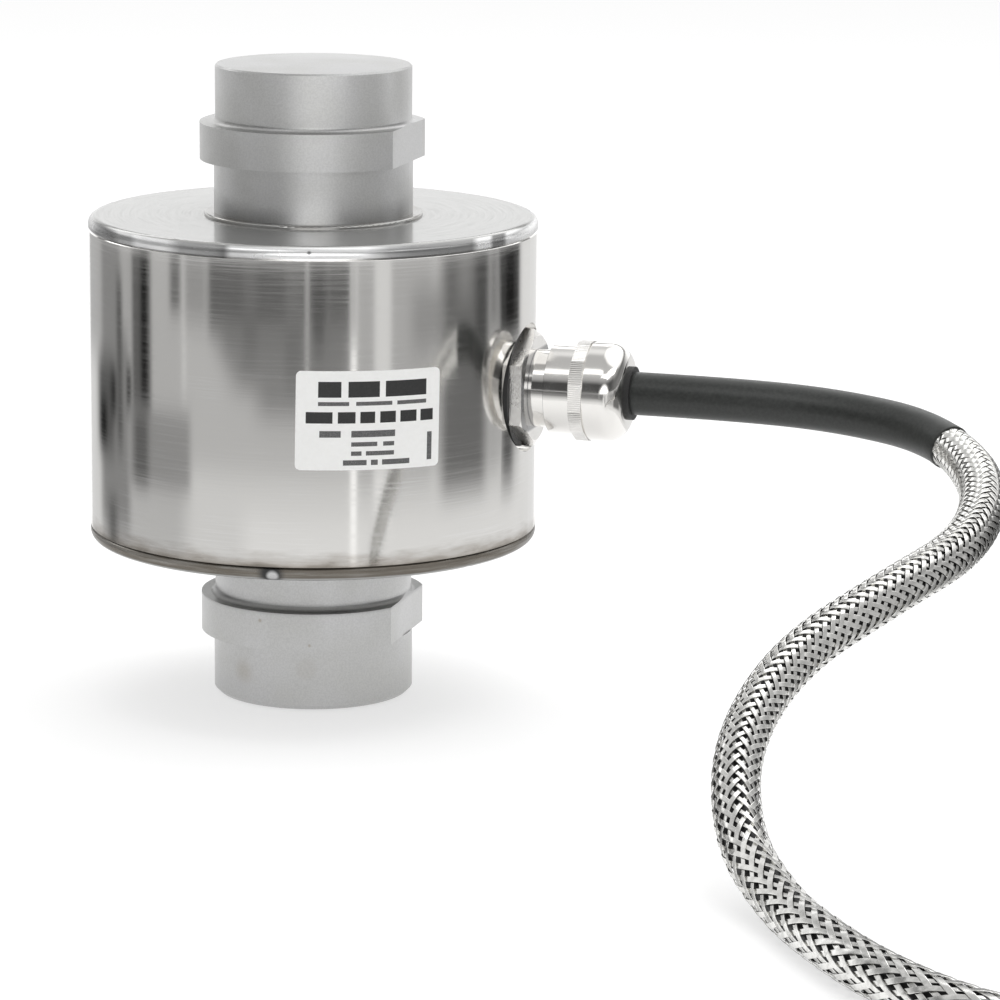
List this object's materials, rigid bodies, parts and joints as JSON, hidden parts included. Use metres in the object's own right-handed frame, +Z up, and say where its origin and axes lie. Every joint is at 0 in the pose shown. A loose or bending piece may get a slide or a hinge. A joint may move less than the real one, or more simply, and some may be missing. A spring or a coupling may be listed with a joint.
{
  "type": "column load cell",
  "caption": "Stainless compression load cell: rocker-ended column with flatted collars through a sealed round housing, side cable gland and braided cable laid to a tied coil.",
  "frame": {"origin": "tip of the foot's spherical end, on the column's axis, on the surface the cell stands on", "axes": "+Z up the column's axis, +X out along the cable gland's axis and through the flats on both collars"},
  "size_m": [0.4276, 0.3071, 0.15],
  "materials": {
    "column_steel": "bead blasted",
    "housing_steel": "polished",
    "inner_steel": "turned",
    "plated_brass": "bright nickel plate",
    "black_rubber": "matte",
    "cage_plastic": "moulded",
    "gauge_film": "satin film",
    "wire_insulation": "smooth",
    "board": "lacquered",
    "resistor_body": "lacquered",
    "block_plastic": "moulded",
    "black_sleeve": "satin",
    "black_jacket": "satin",
    "steel_braid": "woven wire",
    "tie_strap": "woven"
  },
  "bodies": {
    "root": {"column": "column_steel", "housing_tube": "housing_steel", "top_plate": "housing_steel", "bottom_plate": "housing_steel", "gland_boss": "inner_steel", "gland_gasket": "black_rubber", "gland_adapter": "plated_brass", "gland_o_ring": "black_rubber", "gland_nut": "plated_brass", "gland_cage": "cage_plastic", "gland_seal": "black_rubber", "strain_gauges": "gauge_film", "gauge_terminals": "gauge_film", "gauge_leads": "wire_insulation", "bridge_board": "board", "board_standoffs": "inner_steel", "board_screws": "inner_steel", "trim_resistors": "resistor_body", "terminal_block": "block_plastic", "core_wires": "wire_insulation", "cable_sleeve": "black_sleeve", "cable_jacket": "black_jacket", "cable": "steel_braid", "cable_coil": "steel_braid", "coil_tie": "tie_strap", "cable_tail": "steel_braid", "end_sleeve": "black_sleeve", "end_cores": "wire_insulation"}
  },
  "joints": []
}
